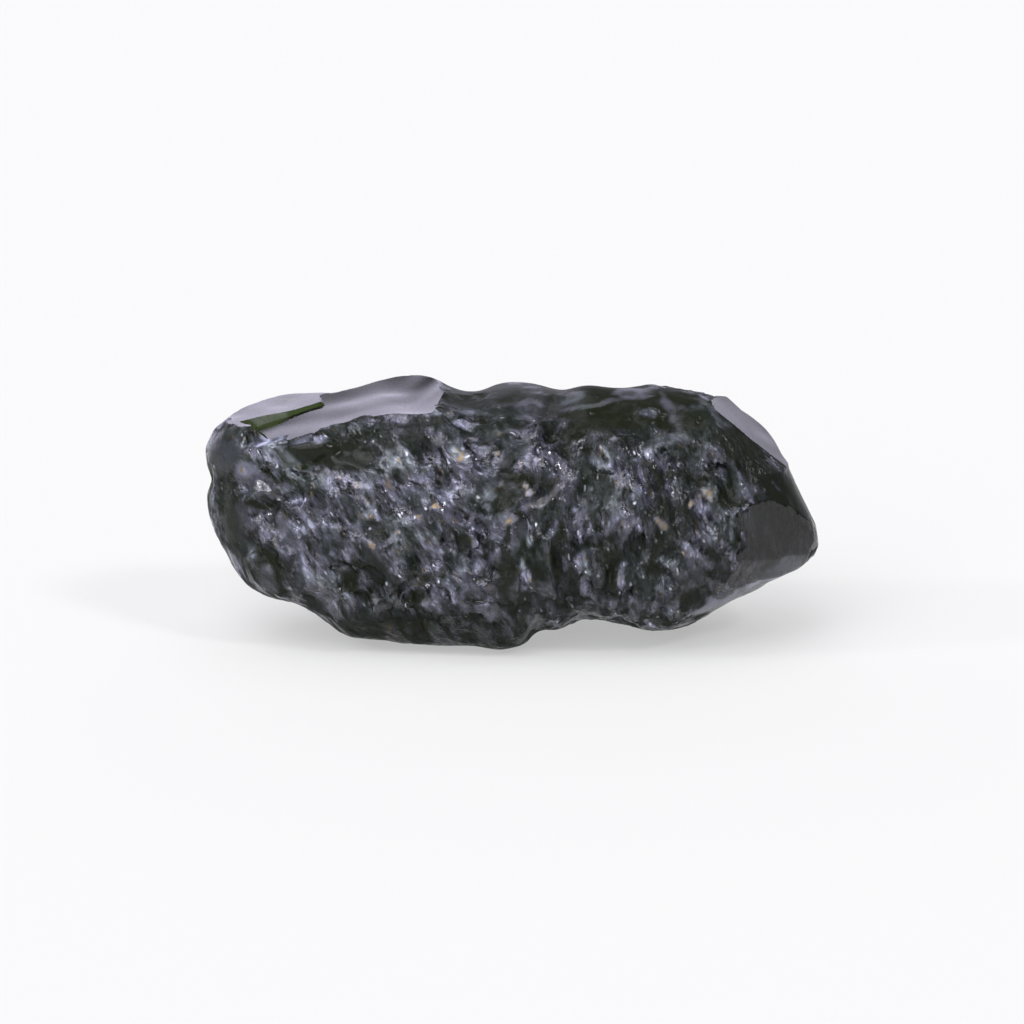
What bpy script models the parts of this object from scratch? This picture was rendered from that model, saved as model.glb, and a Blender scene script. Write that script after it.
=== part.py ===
"""Raw moldavite: one long piece of natural glass, etched all over, with a few
fresh chipped faces and a flat worn patch underneath that it rests on.

Lengths below are in millimetres in the stone's own upright frame (x along the
stone, y through it, z up its broad side). The stone then leans back by LEAN
and is set down with the middle of its footprint on the origin, in metres.
"""

import bmesh
import bpy
import numpy as np
from math import cos, radians, sin, tan

MM = 0.001

# Outline of the broad side, as (x, z).
OUTLINE = [
    (14.9, -0.9), (14.6, -0.1), (14.1, 0.9), (13.7, 1.9), (13.3, 2.9), (12.5, 4.35),
    (10.8, 5.65), (7.9, 6.2),
    (6.8, 6.34), (5.5, 6.2), (3.55, 6.33), (2.5, 6.15), (0.9, 6.33), (-0.9, 6.28),
    (-1.95, 6.02), (-3.0, 6.12), (-4.2, 6.65), (-5.5, 6.6), (-7.9, 5.97), (-9.3, 5.72),
    (-11.9, 5.75), (-13.1, 5.35), (-14.3, 4.5), (-15.0, 2.6), (-14.85, 1.55), (-14.95, 0.9),
    (-14.2, -1.6), (-12.3, -4.0), (-11.2, -4.3), (-9.6, -5.2), (-8.3, -5.9), (-6.2, -6.2),
    (-4.0, -6.45), (-2.0, -6.5), (-0.6, -6.68), (0.3, -6.4), (1.0, -5.8), (2.3, -5.6),
    (3.4, -5.2), (4.3, -5.2), (5.3, -5.4), (6.4, -5.75), (7.5, -5.73), (8.9, -5.3),
    (11.8, -3.9), (13.4, -3.0), (14.35, -2.45), (14.9, -1.6),
]
DEPTH_FRONT = 5.7      # from the widest section to the broad front face
DEPTH_BACK = 6.3       # and to the back
ROUND_FRONT = 2.6      # exponent of the front's cross-section, 2 is an ellipse
ROUND_BACK = 2.5
BOX_UNDER = 2.6        # added to the exponent underneath, at the back
LEAN = radians(14)     # how far the stone leans back
FLOOR = -6.2           # height of the worn patch below the stone's middle

LATTICE = (42, 17, 19)  # quads along, through and up
LATTICE_BOX = (15.0, 6.0, 6.5)
LATTICE_WARP = 0.62     # evens the quads out over the rounded shape

SWELL = (0.26, 0.25)    # waves per mm and height of the broad unevenness
SWELL_SEED = 11
PIT_SIZE = 1.75         # spacing of the large etch pits
PIT_DEPTH = 0.85
PIT_STRETCH = 1.7       # pits are longer along the flow lines than across
PIT_REACH = 0.95        # radius of one pit, in spacings
PIT_LEAST = 0.3         # depth of the shallowest pit, as a share of the deepest
PIT_MEAN = 0.29         # average depth given back, so the outline keeps its size
PIT_SEED = 21
DRIFT = (0.5, 0.4)      # waves per mm and reach of the drift of the pits from a plain scatter
RIM = (0.15, 0.6, 0.45) # relief rises from a share of itself where the side turns to face front
EASE = (0.9, 0.1)       # height over which relief fades toward the patch, and what is left there
# Flow lines run down to the right on the left, down the middle, and slant again.
FLOW = [(0.68, 0.1, -0.73), (0.12, 0.05, -0.99), (0.42, 0.05, -0.9)]
FLOW_ENDS = [(-2, 2), (7, 9.5)]  # where one direction hands over to the next, along x

# Larger hollows of the front: x, z, half length, half width, turn, depth.
GOUGES = [
    (6.6, 4.5, 3.1, 1.0, -5, 0.55), (1.6, 5.0, 2.6, 0.7, -8, 0.35),
    (-12.6, 1.7, 1.5, 0.9, -50, 0.35), (-10.7, -1.4, 2.4, 0.8, -66, 0.3),
    (-12.1, -2.0, 1.7, 0.8, -62, 0.35), (-8.2, -3.0, 1.2, 1.0, -60, 0.5),
    (-5.2, -4.1, 1.2, 0.8, 60, 0.45), (-9.6, 2.2, 1.8, 0.9, -30, 0.3),
    (-7.4, 2.7, 2.0, 0.8, -25, 0.3), (-1.6, -1.6, 2.2, 0.8, -85, 0.3),
    (2.1, -2.4, 2.4, 0.8, -88, 0.35), (4.8, -3.0, 1.7, 0.8, -88, 0.35),
    (6.5, 1.2, 1.6, 0.8, -70, 0.3), (9.2, 0.0, 1.6, 0.8, -66, 0.3),
]

# Chipped faces: point, outward normal, direction, and reach along and across it.
CHIPS = [
    ((-11.0, 0.2, 5.6), (-0.215, -0.3, 1.0), (1, 0, 0), (-6, 7), (-7, 7)),
    ((-10.89, -1.49, 4.82), (-0.285, -0.45, 1.0), (2.58, 0.85, 0), (-1.9, 2.6), (-7, 0)),
    ((-6.15, -0.39, 6.09), (-0.067, -0.361, 0.951), (2.58, 0.85, 0), (-3.1, 3.4), (-7, 6)),
    ((12.0, -1.1, 3.82), (0.635, -0.33, 0.698), (1, 0, -0.9), (-8, 8), (-8, 8)),
    ((12.05, -2.64, 2.85), (0.595, -0.557, 0.579), (0.82, 0, -0.57), (-3.8, 8), (-8, 8)),
    ((12.74, -2.6, -2.29), (0.53, -0.56, -0.64), (1, 0, 0.4), (-9, 8), (-8, 8)),
    ((12.3, -3.8, 0.53), (0.624, -0.759, -0.186), (1, 0, 0.4), (-9, 8), (-8, 8)),
]
CHIP_TOOL = 4.0         # height of the block that takes each face away
PATCH_REACH = (18, 9)   # half length and half width of the block under the patch
WELD = 0.03             # points closer than this become one
SLIVER = 0.01           # edges shorter than this are dropped
LEVEL = 0.002           # points this near the floor are set on it

for old in list(bpy.data.objects):
    bpy.data.objects.remove(old)


def scramble(h):
    """Mixes the bits of an integer array."""
    h = h & 0xFFFFFFFF
    h = ((h ^ (h >> 16)) * 0x45D9F3B) & 0xFFFFFFFF
    h = ((h ^ (h >> 16)) * 0x45D9F3B) & 0xFFFFFFFF
    return h ^ (h >> 16)


def chance(corner, seed, k):
    """A steady value from 0 to 1 for each lattice corner."""
    h = corner @ np.array([73856093, 19349663, 83492791]) + seed * 40503 + k * 7919
    return scramble(h) / 4294967296.0


def wave(q, seed):
    """Smooth noise from -1 to 1, from values at the corners of unit cells."""
    base = np.floor(q).astype(np.int64)
    f = q - base
    f = f * f * f * (f * (f * 6 - 15) + 10)
    total = 0
    for corner in np.ndindex(2, 2, 2):
        weight = np.prod(np.where(corner, f, 1 - f), axis=1)
        total = total + weight * chance(base + corner, seed, 0)
    return total * 2 - 1


def nearest(q, seed):
    """Distance to the nearest of a scatter of points, and that point's value."""
    base = np.floor(q).astype(np.int64)
    best = np.full(len(q), 9.0)
    value = np.zeros(len(q))
    for step in np.ndindex(3, 3, 3):
        cell = base + (np.array(step) - 1)
        point = cell + np.stack([chance(cell, seed, k) for k in (1, 2, 3)], axis=1)
        away = ((point - q) ** 2).sum(axis=1)
        near = away < best
        value = np.where(near, chance(cell, seed, 4), value)
        best = np.where(near, away, best)
    return np.sqrt(best), value


def smooth_step(a, b, v):
    """0 below a, 1 above b, eased between."""
    t = np.clip((v - a) / (b - a), 0, 1)
    return t * t * (3 - 2 * t)


def box_lattice(counts):
    """Points of a box's surface in -1..1 and the quads joining them, outward."""
    n = np.array(counts)
    quads = []
    for axis in range(3):
        u, v = (axis + 1) % 3, (axis + 2) % 3
        i, j = [a.ravel() for a in np.meshgrid(np.arange(n[u]), np.arange(n[v]), indexing="ij")]
        for end in (0, n[axis]):
            c = np.zeros((len(i), 4, 3), np.int64)
            c[:, :, axis] = end
            turn = [(0, 0), (1, 0), (1, 1), (0, 1)] if end else [(0, 0), (0, 1), (1, 1), (1, 0)]
            for k, (a, b) in enumerate(turn):
                c[:, k, u] = i + a
                c[:, k, v] = j + b
            quads.append(c)
    quads = np.concatenate(quads)
    keys = quads @ np.array([1, n[0] + 1, (n[0] + 1) * (n[1] + 1)])
    _, first, inverse = np.unique(keys.ravel(), return_index=True, return_inverse=True)
    return quads.reshape(-1, 3)[first] / n * 2.0 - 1.0, inverse.reshape(-1, 4)


def outline_radius(angle):
    """Distance of the outline from the middle at an angle, through OUTLINE."""
    p = np.array(OUTLINE)
    a, r = np.arctan2(p[:, 1], p[:, 0]), np.hypot(p[:, 0], p[:, 1])
    order = np.argsort(a)
    a, r = a[order], r[order]
    a = np.concatenate([a[-3:] - 2 * np.pi, a, a[:3] + 2 * np.pi])
    r = np.concatenate([r[-3:], r, r[:3]])
    slope = np.gradient(r, a)
    i = np.clip(np.searchsorted(a, angle) - 1, 1, len(a) - 3)
    span = a[i + 1] - a[i]
    t = (angle - a[i]) / span
    return ((2 * t**3 - 3 * t**2 + 1) * r[i] + (t**3 - 2 * t**2 + t) * slope[i] * span
            + (3 * t**2 - 2 * t**3) * r[i + 1] + (t**3 - t**2) * slope[i + 1] * span)


def body(d):
    """Point of the plain body in direction d: outline and depth joined by a power."""
    across = np.hypot(d[:, 0], d[:, 2])
    radius = outline_radius(np.arctan2(d[:, 2], d[:, 0]))
    under = smooth_step(0.25, 0.75, -d[:, 2] / np.maximum(across, 1e-9))
    front = d[:, 1] < 0
    depth = np.where(front, DEPTH_FRONT, DEPTH_BACK)
    power = np.where(front, ROUND_FRONT, ROUND_BACK + BOX_UNDER * under)
    t = ((across / radius) ** power + (np.abs(d[:, 1]) / depth) ** power) ** (-1 / power)
    return d * t[:, None]


def vertex_normals(p, quads):
    """Unit normal of each point from the diagonals of its quads."""
    n = np.cross(p[quads[:, 2]] - p[quads[:, 0]], p[quads[:, 3]] - p[quads[:, 1]])
    out = np.stack([sum(np.bincount(quads[:, k], n[:, a], len(p)) for k in range(4))
                    for a in range(3)], axis=1)
    return out / np.linalg.norm(out, axis=1)[:, None]


def flow_weights(x):
    """Share of each flow direction at x."""
    left = 1 - smooth_step(*FLOW_ENDS[0], x)
    right = smooth_step(*FLOW_ENDS[1], x)
    return left, 1 - left - right, right


def pits(p, size, stretch, seed):
    """Scooped pits: one minus squared distance to the nearest point, along the flow."""
    total = 0
    for k, (share, line) in enumerate(zip(flow_weights(p[:, 0]), FLOW)):
        line = np.array(line) / np.linalg.norm(line)
        q = (p - (1 - 1 / stretch) * (p @ line)[:, None] * line) / size
        away, value = nearest(q, seed + 50 * k)
        depth = PIT_LEAST + (1 - PIT_LEAST) * value
        total = total + share * np.clip(1 - (away / PIT_REACH) ** 2, 0, 1) * depth
    return total


def gouge(p, x, z, half_length, half_width, turn, depth):
    """Elliptical hollow in the front, deepest in its middle."""
    c, s = cos(radians(turn)), sin(radians(turn))
    u = ((p[:, 0] - x) * c + (p[:, 2] - z) * s) / half_length
    v = (-(p[:, 0] - x) * s + (p[:, 2] - z) * c) / half_width
    return depth * np.clip(1 - u * u - v * v, 0, 1) * (p[:, 1] < 0)


def add_mesh(name, points, faces):
    """Mesh object from points in millimetres."""
    mesh = bpy.data.meshes.new(name)
    mesh.from_pydata((np.asarray(points) * MM).tolist(), [], [list(map(int, f)) for f in faces])
    made = bpy.data.objects.new(name, mesh)
    bpy.context.scene.collection.objects.link(made)
    return made


def block(name, point, normal, along, reach_u, reach_v, height):
    """Closed block standing on a plane, used to take away what lies above it."""
    n = np.array(normal, float) / np.linalg.norm(normal)
    a = np.array(along, float) - n * np.dot(along, n)
    a = a / np.linalg.norm(a)
    b = np.cross(n, a)
    corners = [(reach_u[0], reach_v[0]), (reach_u[1], reach_v[0]),
               (reach_u[1], reach_v[1]), (reach_u[0], reach_v[1])]
    low = [np.array(point) + u * a + v * b for u, v in corners]
    high = [c + height * n for c in low]
    faces = [(3, 2, 1, 0), (4, 5, 6, 7), (0, 1, 5, 4), (1, 2, 6, 5), (2, 3, 7, 6), (3, 0, 4, 7)]
    return add_mesh(name, low + high, faces)


# The etched body.
unit_points, quads = box_lattice(LATTICE)
spread = np.tan(unit_points * LATTICE_WARP) / tan(LATTICE_WARP) * np.array(LATTICE_BOX)
plain = body(spread / np.linalg.norm(spread, axis=1)[:, None])
normals = vertex_normals(plain, quads)
shifted = plain + DRIFT[1] * np.stack([wave(plain * DRIFT[0], s) for s in (1, 2, 3)], axis=1)
rim = RIM[2] + (1 - RIM[2]) * smooth_step(RIM[0], RIM[1], np.abs(normals[:, 1]))
relief = SWELL[1] * wave(plain * SWELL[0], SWELL_SEED)
relief = relief - (PIT_DEPTH * pits(shifted, PIT_SIZE, PIT_STRETCH, PIT_SEED) - PIT_MEAN) * rim
for numbers in GOUGES:
    relief = relief - gouge(plain, *numbers)
above_floor = plain[:, 2] * cos(LEAN) - plain[:, 1] * sin(LEAN) - FLOOR
relief = relief * (EASE[1] + (1 - EASE[1]) * smooth_step(0, EASE[0], above_floor))
stone = add_mesh("moldavite", plain + normals * relief[:, None], quads)

# The chipped faces, then the flat patch underneath, square to the upright once leant.
tools = [block("chip", *numbers, CHIP_TOOL) for numbers in CHIPS]
down = np.array([0, sin(LEAN), -cos(LEAN)])
reach_x, reach_y = PATCH_REACH
tools.append(block("floor", down * -FLOOR, down, (1, 0, 0), (-reach_x, reach_x), (-reach_y, reach_y),
                   CHIP_TOOL))
for tool in tools:
    cut = stone.modifiers.new(tool.name, "BOOLEAN")
    cut.operation = "DIFFERENCE"
    cut.object = tool
shape = bpy.data.meshes.new_from_object(stone.evaluated_get(bpy.context.evaluated_depsgraph_get()))
stone.modifiers.clear()
stone.data = shape
for tool in tools:
    bpy.data.objects.remove(tool)

# Leant back, cleaned, and set down on its patch.
bm = bmesh.new()
bm.from_mesh(shape)
for vertex in bm.verts:
    x, y, z = vertex.co
    vertex.co = (x, y * cos(LEAN) + z * sin(LEAN), z * cos(LEAN) - y * sin(LEAN) - FLOOR * MM)
    if abs(vertex.co.z) < LEVEL * MM:
        vertex.co.z = 0.0
bmesh.ops.remove_doubles(bm, verts=bm.verts, dist=WELD * MM)
bmesh.ops.dissolve_degenerate(bm, edges=bm.edges, dist=SLIVER * MM)
bmesh.ops.triangulate(bm, faces=bm.faces)
low = [min(v.co[k] for v in bm.verts) for k in range(2)]
high = [max(v.co[k] for v in bm.verts) for k in range(2)]
for vertex in bm.verts:
    vertex.co.x -= (low[0] + high[0]) / 2
    vertex.co.y -= (low[1] + high[1]) / 2
bmesh.ops.recalc_face_normals(bm, faces=bm.faces)
bm.to_mesh(shape)
bm.free()
shape.name = "moldavite"

glass = bpy.data.materials.new("moldavite_glass")
glass.use_nodes = True
principled = glass.node_tree.nodes["Principled BSDF"]
principled.inputs["Base Color"].default_value = (0.07, 0.11, 0.05, 1.0)
principled.inputs["Roughness"].default_value = 0.25
principled.inputs["IOR"].default_value = 1.49
principled.inputs["Transmission Weight"].default_value = 0.6
shape.materials.clear()
shape.materials.append(glass)
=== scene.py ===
import bpy
import bmesh
import numpy as np
from math import cos, pi, radians, sin, tan
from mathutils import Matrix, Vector


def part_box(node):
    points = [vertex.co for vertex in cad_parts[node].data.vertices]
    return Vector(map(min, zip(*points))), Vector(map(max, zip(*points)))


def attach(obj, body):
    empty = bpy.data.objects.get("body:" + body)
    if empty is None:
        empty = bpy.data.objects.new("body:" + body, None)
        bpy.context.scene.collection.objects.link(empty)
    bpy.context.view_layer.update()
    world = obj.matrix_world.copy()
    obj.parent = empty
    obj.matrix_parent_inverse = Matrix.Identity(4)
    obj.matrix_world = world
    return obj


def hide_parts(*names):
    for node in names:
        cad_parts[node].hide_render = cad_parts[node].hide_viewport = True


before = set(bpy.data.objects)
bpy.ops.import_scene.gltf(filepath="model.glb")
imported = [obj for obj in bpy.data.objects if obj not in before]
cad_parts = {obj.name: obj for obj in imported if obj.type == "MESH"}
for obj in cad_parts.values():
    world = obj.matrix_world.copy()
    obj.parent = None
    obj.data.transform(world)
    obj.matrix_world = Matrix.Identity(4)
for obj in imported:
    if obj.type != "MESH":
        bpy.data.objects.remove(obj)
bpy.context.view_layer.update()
mm = 0.001

# The stone's own upright frame is in millimetres: x along it, y through it, z up its broad side.
stone = {
    "outline": [
        (14.9, -0.9), (14.6, -0.1), (14.1, 0.9), (13.7, 1.9), (13.3, 2.9), (12.5, 4.25),
        (11.25, 5.2), (9.4, 5.95), (7.9, 6.2), (6.8, 6.34), (5.5, 6.2), (3.55, 6.33), (2.5, 6.15),
        (0.9, 6.33), (-0.9, 6.28), (-1.95, 6.02), (-3.0, 6.12), (-4.2, 6.65), (-5.5, 6.8),
        (-7.9, 6.3), (-9.3, 5.98), (-11.9, 5.75), (-13.1, 5.35), (-14.3, 4.5), (-15.0, 2.6),
        (-14.85, 1.55), (-14.95, 0.9), (-14.2, -1.6), (-12.3, -4.0), (-11.2, -4.3), (-9.6, -5.2),
        (-8.3, -5.9), (-6.2, -6.2), (-4.0, -6.45), (-2.0, -6.5), (-0.6, -6.68), (0.3, -6.4),
        (1.0, -5.8), (2.3, -5.6), (3.4, -5.2), (4.3, -5.2), (5.3, -5.4), (6.4, -5.75), (7.5, -5.73),
        (8.9, -5.3), (11.8, -3.9), (13.4, -3.0), (14.35, -2.45), (14.9, -1.6)],
    "depthFront": 5.7, "depthBack": 6.3,
    "roundFront": 2.6, "roundBack": 2.5, "boxUnder": 2.6, "underEnds": (0.25, 0.75),
    "lean": radians(14), "floor": -6.2, "easeAboveFloor": 0.9,
    "lattice": (206, 88, 94), "latticeBox": (15.0, 6.0, 6.5), "latticeWarp": 0.62,
    "swell": [(0.26, 0.25, 11), (0.6, 0.1, 12)],          # waves per mm, height, seed
    "wander": (0.4, 0.5, 1),                              # how far points drift, waves per mm, seed
    "ragged": [(0.3, 0.9, 4), (0.12, 2.6, 7)],
    "wornPitted": 0.15, "floorRelief": 0.1,               # relief kept where worn and at the floor
    "rimRelief": (0.4, 0.25, 0.75),                       # relief kept at the rim, and its ends
    # Fine pits thin out in waves: mean, swing, waves per mm, seed, least and most.
    "fineWaves": (0.75, 0.7, 0.5, 31, 0.3, 1.15),
    # Pits: spacing, depth, stretch along the flow, seed.
    "pits": [(1.75, 0.5, 1.7, 21), (0.85, 0.6, 2.1, 22), (0.48, 0.35, 2.0, 23)],
    "pitMean": 0.42, "pitReach": 0.95, "pitLeast": 0.3,
    "flow": [(0.68, 0.1, -0.73), (0.12, 0.05, -0.99), (0.42, 0.05, -0.9)],
    "flowEnds": [(-2.0, 2.0), (7.0, 9.5)],
}

# Hollows of the front: x, z, half length, half width, turn, depth.
gouges = [
    (6.6, 4.5, 3.1, 1.0, -5, 0.55), (1.6, 5.0, 2.6, 0.7, -8, 0.35), (-2.2, 5.35, 1.6, 0.55, 0, 0.3),
    (-12.6, 1.7, 1.5, 0.9, -50, 0.35), (-12.3, 0.55, 0.42, 0.25, -10, 0.45),
    (-12.0, 2.3, 0.9, 0.3, -50, 0.35), (-10.7, -1.4, 2.4, 0.6, -66, 0.35),
    (-12.1, -2.0, 1.7, 0.6, -62, 0.4), (-12.9, -1.7, 0.6, 0.5, 0, 0.3),
    (-10.65, 0.8, 0.6, 0.5, 0, 0.35), (-9.3, 0.1, 1.0, 0.7, -30, 0.25),
    (-8.2, -3.0, 1.0, 0.8, -60, 0.55), (-6.9, -3.3, 0.9, 0.6, -60, 0.4),
    (-5.2, -4.1, 0.9, 0.55, 60, 0.6), (-3.6, -4.0, 1.0, 0.6, 50, 0.35),
    (-5.1, -5.3, 1.6, 0.45, -5, 0.5), (-9.6, 2.2, 1.8, 0.7, -30, 0.3),
    (-7.4, 2.7, 2.0, 0.6, -25, 0.3), (-2.7, 2.4, 0.9, 0.6, -45, 0.3),
    (-3.2, -1.2, 1.5, 0.45, -75, 0.35), (-1.6, -1.6, 2.0, 0.4, -85, 0.4),
    (0.45, -2.8, 1.3, 0.32, -88, 0.4), (0.9, -1.0, 1.1, 0.32, -85, 0.35),
    (2.1, -2.4, 2.4, 0.35, -88, 0.5), (3.2, -1.0, 1.2, 0.35, -85, 0.35),
    (3.4, -2.9, 1.3, 0.4, -75, 0.35), (4.7, -3.0, 1.7, 0.32, -88, 0.5),
    (5.3, -3.3, 1.0, 0.3, -80, 0.3), (4.2, 2.6, 0.8, 0.5, -20, 0.35),
    (6.2, -1.0, 1.3, 0.32, -88, 0.35), (6.5, 1.2, 1.5, 0.45, -70, 0.45),
    (7.4, -3.2, 0.6, 0.45, -80, 0.4), (7.5, -2.1, 0.5, 0.4, -80, 0.3),
    (9.2, 0.0, 1.5, 0.45, -66, 0.45), (10.4, -0.9, 0.6, 0.3, -75, 0.3),
    (11.3, -1.4, 1.0, 0.42, -78, 0.4), (10.2, 1.5, 1.6, 0.5, -50, 0.4),
    (8.3, 2.3, 1.2, 0.5, -45, 0.35), (4.9, -5.7, 0.9, 0.6, 0, 0.5), (-10.9, 3.3, 2.6, 1.0, 8, -0.6),
    (11.2, 4.9, 1.8, 1.0, -40, -0.4),
]

# Areas worn smooth, with few pits: x, z, half length, half height, turn, sheen, haze. The haze is pale
# paint, in places a painted reflection, as on the two bright slivers at the top left.
wornAreas = [
    (-12.6, 1.55, 1.5, 0.7, -42, 1.0, 1.5), (-10.9, -1.5, 0.5, 1.9, 22, 0.6, 0.9),
    (-12.0, -3.1, 0.5, 0.9, 20, 0.6, 0.9), (-13.6, -0.5, 0.9, 2.2, 10, 0.2, 0.2),
    (-11.5, -2.3, 0.5, 1.3, 35, 0.2, 0.0), (-14.0, 3.2, 1.0, 1.6, -30, 0.5, 0.4),
    (0, 5.7, 4.5, 1.2, 0, 0.15, 0.3), (5.5, 5.2, 5.4, 1.6, -4, 0.05, 0.02),
    (-9.0, 2.9, 2.8, 0.7, -10, 0.25, 0.1), (2.6, 5.75, 0.9, 0.4, 0, 0.2, 1.1),
    (5.8, 5.9, 1.3, 0.35, 0, 0.2, 1.2), (0.9, 6.1, 0.7, 0.25, 0, 0.2, 1.1),
    (0.3, 5.3, 1.2, 0.22, 8, 0.2, 1.1), (3.6, 5.3, 1.6, 0.15, 12, 0.2, 0.9),
    (7.6, 5.0, 0.3, 1.0, 20, 0.2, 0.9), (7.2, 3.6, 1.4, 0.3, 10, 0.2, 1.2),
    (9.6, 5.2, 0.8, 0.22, -45, 0.3, 2.2), (10.2, 4.55, 0.9, 0.14, -35, 0.3, 1.8),
    (-1.9, 4.9, 0.9, 0.2, -10, 0.3, 1.6), (13.2, 0.8, 2.2, 1.8, 0, 0.5, 0.0),
    (11.5, 4.6, 2.6, 1.6, -40, 0.15, 0.0), (-11.5, 5.4, 3.0, 0.9, 20, 0.9, 0.0),
    (-5.8, 6.4, 3.6, 0.8, 10, 0.9, 0.0), (12.0, -3.8, 3.2, 0.8, 27, 0.8, 0.8),
    (-8.0, -3.2, 0.8, 0.9, 20, 0.2, 0.0), (-11.9, 3.72, 1.1, 0.17, 14, 0.5, 7.0),
    (-10.1, 3.47, 1.2, 0.14, 5, 0.5, 6.0), (12.7, -3.1, 2.0, 0.8, 33, 0.8, 4.0),
    (10.0, -4.3, 1.6, 0.5, 24, 0.8, 2.2),
]

# Chipped faces: a point, the outward normal, a direction, reach along and across it, curve each
# way, and the middle, spacing, height and spread of the ripples. gloss runs from 0, as etched as
# the skin, to 1, fresh glass. Crisp edges stay sharp, lift brings a face back up from a distance
# on, flare leans the walls out, and a wall with a green share gets painted green that stands in
# for light seen through the glass.
chips = [
    {"point": (-11.0, 0.2, 5.6), "normal": (-0.215, -0.3, 1.0), "along": (1, 0, 0),
     "u": (-6, 7), "v": (-7, 7), "curve": (0.004, 0.004), "ripple": (-6, -3, 2.6, 0.035, 6),
     "rough": 0.02, "gloss": 1, "crisp": True},
    {"point": (-10.89, -1.49, 4.9), "normal": (-0.285, -0.45, 1.0), "along": (2.58, 0.85, 0),
     "u": (-1.9, 3.0), "v": (-7, 0), "curve": (-0.025, 0.015), "ripple": (-3, -7, 2.6, 0.02, 9),
     "rough": 0.01, "gloss": 1, "crisp": True, "flare": 0.8, "paintedGreenShare": 1},
    {"point": (-10.89, -1.49, 4.9), "normal": (-0.285, -0.45, 1.0), "along": (2.58, 0.85, 0),
     "u": (1.9, 8.0), "v": (-7, 6), "curve": (-0.025, 0.015), "lift": (5.0, 0.18),
     "ripple": (-3, -7, 2.6, 0.02, 9), "rough": 0.01, "gloss": 1, "crisp": True, "flare": 0.8},
    {"point": (12.0, -1.1, 3.82), "normal": (0.635, -0.33, 0.698), "along": (1, 0, -0.9),
     "u": (-8, 8), "v": (-8, 8), "curve": (0.008, 0.008), "ripple": (6, -2, 1.9, 0.02, 6),
     "rough": 0.015, "gloss": 1, "crisp": True},
    {"point": (12.05, -2.64, 2.85), "normal": (0.595, -0.557, 0.579), "along": (0.82, 0, -0.57),
     "u": (-3.8, 8), "v": (-8, 8), "curve": (0.012, -0.01), "ripple": (4, -2, 1.7, 0.03, 5),
     "rough": 0.06, "gloss": 0.1, "crisp": False},
    {"point": (12.74, -2.6, -2.29), "normal": (0.53, -0.56, -0.64), "along": (1, 0, 0.4),
     "u": (-9, 8), "v": (-8, 8), "curve": (-0.006, -0.012), "ripple": (6, 2, 2.4, 0.02, 6),
     "rough": 0.02, "gloss": 0.75, "crisp": False},
    {"point": (12.3, -3.8, 0.53), "normal": (0.624, -0.759, -0.186), "along": (1, 0, 0.4),
     "u": (-9, 8), "v": (-8, 8), "curve": (-0.004, -0.004), "ripple": (6, 2, 2.4, 0.02, 6),
     "rough": 0.01, "gloss": 0.9, "crisp": False},
    {"point": (-11.75, -3.42, 3.66), "normal": (-0.32, -0.38, 1.0), "along": (1.7, -0.63, 0),
     "u": (-1.1, 1.2), "v": (-3, 0), "curve": (0, 0.02), "ripple": (0, 0, 1.0, 0, 2),
     "rough": 0, "gloss": 0, "crisp": True},
    {"point": (-10.55, -4.4, 3.5), "normal": (-0.2, -0.3, 1.0), "along": (2.1, -0.1, 0),
     "u": (-1.1, 1.1), "v": (-3, 0), "curve": (0, 0.01), "ripple": (0, 0, 1.0, 0, 2),
     "rough": 0, "gloss": 0, "crisp": True},
]
chipping = {
    "step": 0.3, "height": 4.0,                # grid step and thickness of the cutting slabs
    "drift": (0.25, 0.7, 51),                  # how far their edges wander, waves per mm, seed
    "roughRate": 0.8, "roughSeed": 52,
}
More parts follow.
